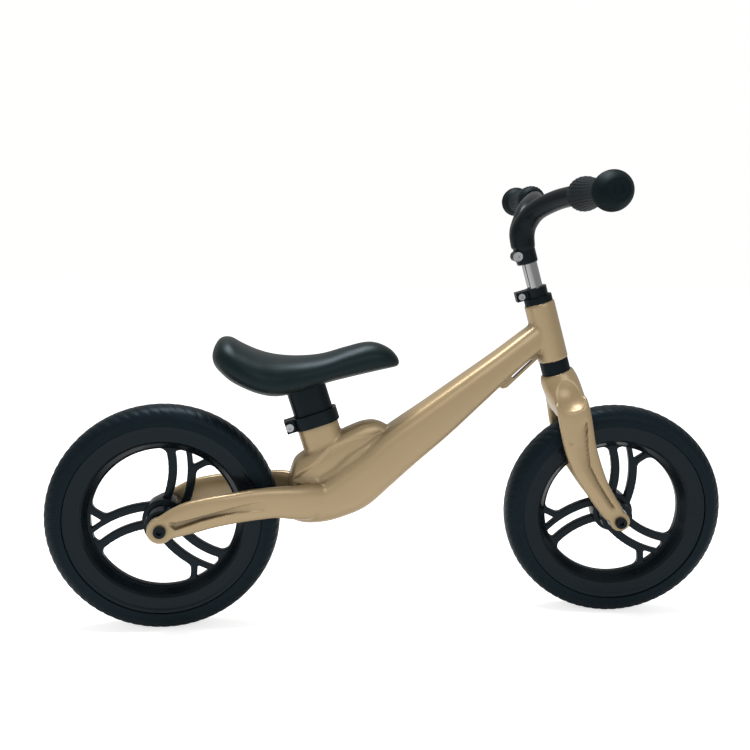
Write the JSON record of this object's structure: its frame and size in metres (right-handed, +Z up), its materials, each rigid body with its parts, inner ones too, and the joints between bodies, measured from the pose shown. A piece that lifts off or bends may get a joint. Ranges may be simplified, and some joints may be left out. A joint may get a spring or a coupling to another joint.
{
  "type": "balance bike",
  "caption": "Children's balance bike with a cast frame and fork, foam tyres on three-spoke wheels, and a saddle and handlebar that slide to height.",
  "frame": {"origin": "on the ground, midway between the two axles, on the frame's middle plane", "axes": "+X forwards along the bike, +Y to the rider's left, +Z up"},
  "size_m": [0.9028, 0.4587, 0.5971],
  "materials": {
    "gold_paint": "satin metallic champagne gold",
    "rim_plastic": "glossy black moulded plastic",
    "black_plastic": "matt black moulded plastic",
    "black_paint": "satin black paint",
    "foam_tyre": "matt black foam",
    "saddle_skin": "smooth black synthetic leather skin over foam",
    "grip_rubber": "matt black rubber",
    "chrome": "polished chrome",
    "steel": "plain zinc-plated steel"
  },
  "bodies": {
    "frame_body": {"frame": "gold_paint", "seat_clamp": "black_paint", "seat_clamp_bolt": "steel", "head_bearings": "steel", "rear_axle": "steel", "rear_axle_bolts": "black_paint", "rear_axle_spacers": "steel", "rear_hub_spacer": "steel"},
    "saddle": {"seat_post": "black_paint", "saddle_base": "black_plastic", "saddle_screws": "steel", "saddle_pad": "saddle_skin"},
    "rear_wheel": {"rear_rim": "rim_plastic", "rear_tyre": "foam_tyre", "rear_bearings": "steel"},
    "fork_body": {"fork": "gold_paint", "steerer_tube": "steel", "lower_head_cover": "black_plastic", "upper_head_cover": "black_plastic", "steerer_collar": "black_paint", "collar_bolt": "steel", "front_axle": "steel", "front_axle_bolts": "black_paint", "front_axle_spacers": "steel", "front_hub_spacer": "steel"},
    "front_wheel": {"front_rim": "rim_plastic", "front_tyre": "foam_tyre", "front_bearings": "steel"},
    "handlebar_body": {"handlebar_post": "chrome", "handlebar": "black_paint", "handlebar_bolt": "steel", "left_grip": "grip_rubber", "right_grip": "grip_rubber"}
  },
  "joints": [
    {"name": "steering", "type": "hinge", "parent": "frame_body", "child": "fork_body", "pos_m": [0.20801, 0, 0.35826], "axis": [-0.309, 0, 0.9511], "range_deg": [-36.5, 53.5]},
    {"name": "rear_wheel_spin", "type": "hinge", "parent": "frame_body", "child": "rear_wheel", "pos_m": [-0.3035, 0, 0.1485], "axis": [0, 1, 0], "continuous": true},
    {"name": "front_wheel_spin", "type": "hinge", "parent": "fork_body", "child": "front_wheel", "pos_m": [0.30323, -0.00384, 0.14841], "axis": [0.1406, 0.989, 0.0457], "continuous": true},
    {"name": "seat_height", "type": "slide", "parent": "frame_body", "child": "saddle", "axis": [-0.309, 0, 0.9511], "range_m": [-0.025, 0.04]},
    {"name": "handlebar_height", "type": "slide", "parent": "fork_body", "child": "handlebar_body", "axis": [-0.309, 0, 0.9511], "range_m": [-0.028, 0.045]}
  ]
}
